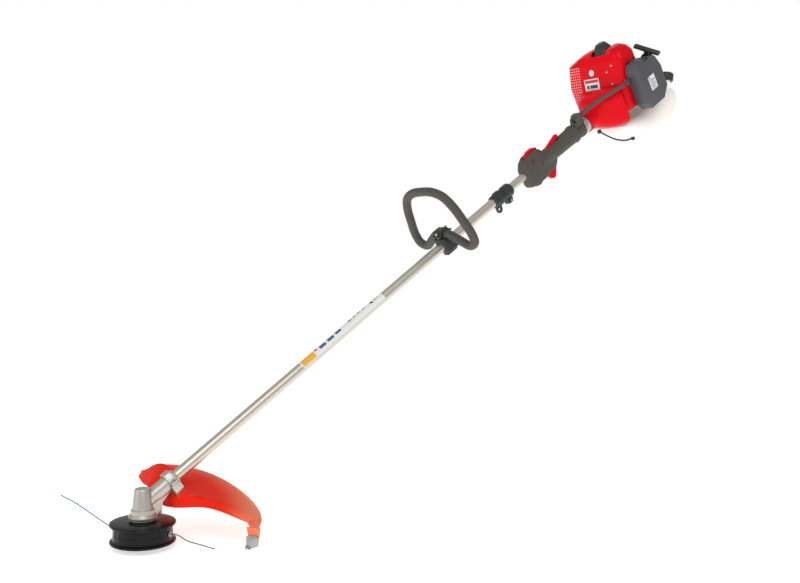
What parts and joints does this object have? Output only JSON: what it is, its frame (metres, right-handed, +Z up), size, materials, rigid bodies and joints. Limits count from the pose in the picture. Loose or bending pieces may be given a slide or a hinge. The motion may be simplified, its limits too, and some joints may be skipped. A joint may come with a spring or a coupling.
{
  "type": "petrol string trimmer",
  "caption": "Hand-held petrol string trimmer: line head, bevel gear case, deflector guard, straight tube, loop and throttle handles, small two-stroke engine.",
  "frame": {"origin": "bottom of the bump knob, on the line head's axis", "axes": "+Z up along the head's axis; the tube rises from the head towards +X in the XZ plane at 34 degrees; +Y to the machine's left, the silencer side"},
  "size_m": [1.7208, 0.4191, 1.1856],
  "materials": {
    "black": "glossy black nylon",
    "grip": "satin dark warm grey",
    "clamp": "satin green-black",
    "slate": "satin slate grey",
    "olive": "satin olive-black",
    "red": "glossy saturated red",
    "orange": "glossy orange-red",
    "green": "satin green nylon",
    "tank": "translucent milk white",
    "alloy": "drawn, satin",
    "cast": "cast, satin",
    "steel": "satin",
    "castdark": "matt dark",
    "bush": "matt brown"
  },
  "bodies": {
    "machine": {"gear_case": "cast", "spindle_bearing": "steel", "guard_shell": "orange", "line_cutter": "steel", "guard_bracket": "cast", "guard_strap": "cast", "guard_bolt_left": "steel", "guard_bolt_right": "steel", "lower_tube": "alloy", "upper_tube": "alloy", "shaft_bush_1": "bush", "shaft_bush_2": "bush", "handle_shell_left": "grip", "handle_shell_right": "grip", "throttle_conduit": "grip", "damper_ring": "cast", "clutch_housing": "red", "crankcase": "cast", "cylinder": "castdark", "engine_cover": "red", "plug_cap": "olive", "silencer": "castdark", "carburettor": "cast", "air_filter_cover": "slate", "starter_housing": "black", "fuel_tank": "tank", "support_foot": "steel", "primer_bulb": "tank"},
    "cutter_head": {"head_base": "black", "head_cover": "black", "line_eyelet_left": "steel", "line_eyelet_right": "steel", "trimmer_line_left": "green", "trimmer_line_right": "green", "output_spindle": "steel", "blade_flange": "cast", "driven_gear": "steel", "bump_spring": "steel"},
    "bump_feed": {"bump_knob": "black", "line_spool": "black"},
    "drive_train": {"bevel_pinion": "steel", "drive_shaft": "steel", "clutch_drum": "steel"},
    "crank": {"crankshaft": "steel", "clutch_rotor": "cast", "flywheel": "cast"},
    "loop": {"loop_handle": "grip", "loop_clamp_base": "clamp", "loop_clamp_cap": "clamp", "loop_clamp_bolt_front": "steel", "loop_clamp_bolt_rear": "steel"},
    "harness": {"harness_clamp": "clamp", "harness_bolt": "steel"},
    "trigger": {"throttle_trigger": "red"},
    "lockout": {"throttle_lockout": "red"},
    "switch": {"stop_switch": "red"},
    "choke": {"choke_lever": "olive"},
    "starter_pull": {"starter_handle": "olive"},
    "cap": {"fuel_cap": "olive"}
  },
  "joints": [
    {"name": "cutter_spin", "type": "hinge", "parent": "machine", "child": "cutter_head", "pos_m": [0, 0, 0.084], "axis": [0, 0, 1], "continuous": true},
    {"name": "bump_press", "type": "slide", "parent": "cutter_head", "child": "bump_feed", "axis": [0, 0, 1], "range_m": [0, 0.006], "stiffness_N_per_m": 1500, "springref_m": -0.004, "deforming": ["bump_spring"]},
    {"name": "drive_spin", "type": "hinge", "parent": "machine", "child": "drive_train", "pos_m": [0, 0, 0.084], "axis": [0.829, 0, 0.5592], "continuous": true},
    {"name": "crank_spin", "type": "hinge", "parent": "machine", "child": "crank", "pos_m": [1.32646, 0, 0.97871], "axis": [0.829, 0, 0.5592], "continuous": true},
    {"name": "loop_adjust", "type": "slide", "parent": "machine", "child": "loop", "axis": [0.829, 0, 0.5592], "range_m": [-0.12, 0.12]},
    {"name": "harness_adjust", "type": "slide", "parent": "machine", "child": "harness", "axis": [0.829, 0, 0.5592], "range_m": [0, 0.02]},
    {"name": "throttle_squeeze", "type": "hinge", "parent": "machine", "child": "trigger", "pos_m": [1.16353, 0, 0.8483], "axis": [0, 1, 0], "range_deg": [0, 14], "stiffness_Nm_per_rad": 0.4, "springref_deg": -17.19},
    {"name": "lockout_press", "type": "hinge", "parent": "machine", "child": "lockout", "pos_m": [1.12905, 0, 0.86365], "axis": [0, 1, 0], "range_deg": [0, 7], "stiffness_Nm_per_rad": 0.4, "springref_deg": -17.19},
    {"name": "stop_slide", "type": "slide", "parent": "machine", "child": "switch", "axis": [0.829, 0, 0.5592], "range_m": [0, 0.006]},
    {"name": "choke_turn", "type": "hinge", "parent": "machine", "child": "choke", "pos_m": [1.45483, -0.082, 1.03876], "axis": [0, 1, 0], "range_deg": [-60, 0]},
    {"name": "starter_pull", "type": "slide", "parent": "machine", "child": "starter_pull", "axis": [-0.4982, -0.454, 0.7387], "range_m": [0, 0.6], "stiffness_N_per_m": 40, "springref_m": -0.05},
    {"name": "cap_turn", "type": "hinge", "parent": "machine", "child": "cap", "pos_m": [1.58555, -0.036, 1.07386], "axis": [0.1736, 0, 0.9848], "continuous": true}
  ],
  "couplings": [
    {"joint": "drive_spin", "follows": "cutter_spin", "ratio": 1.3571}
  ]
}
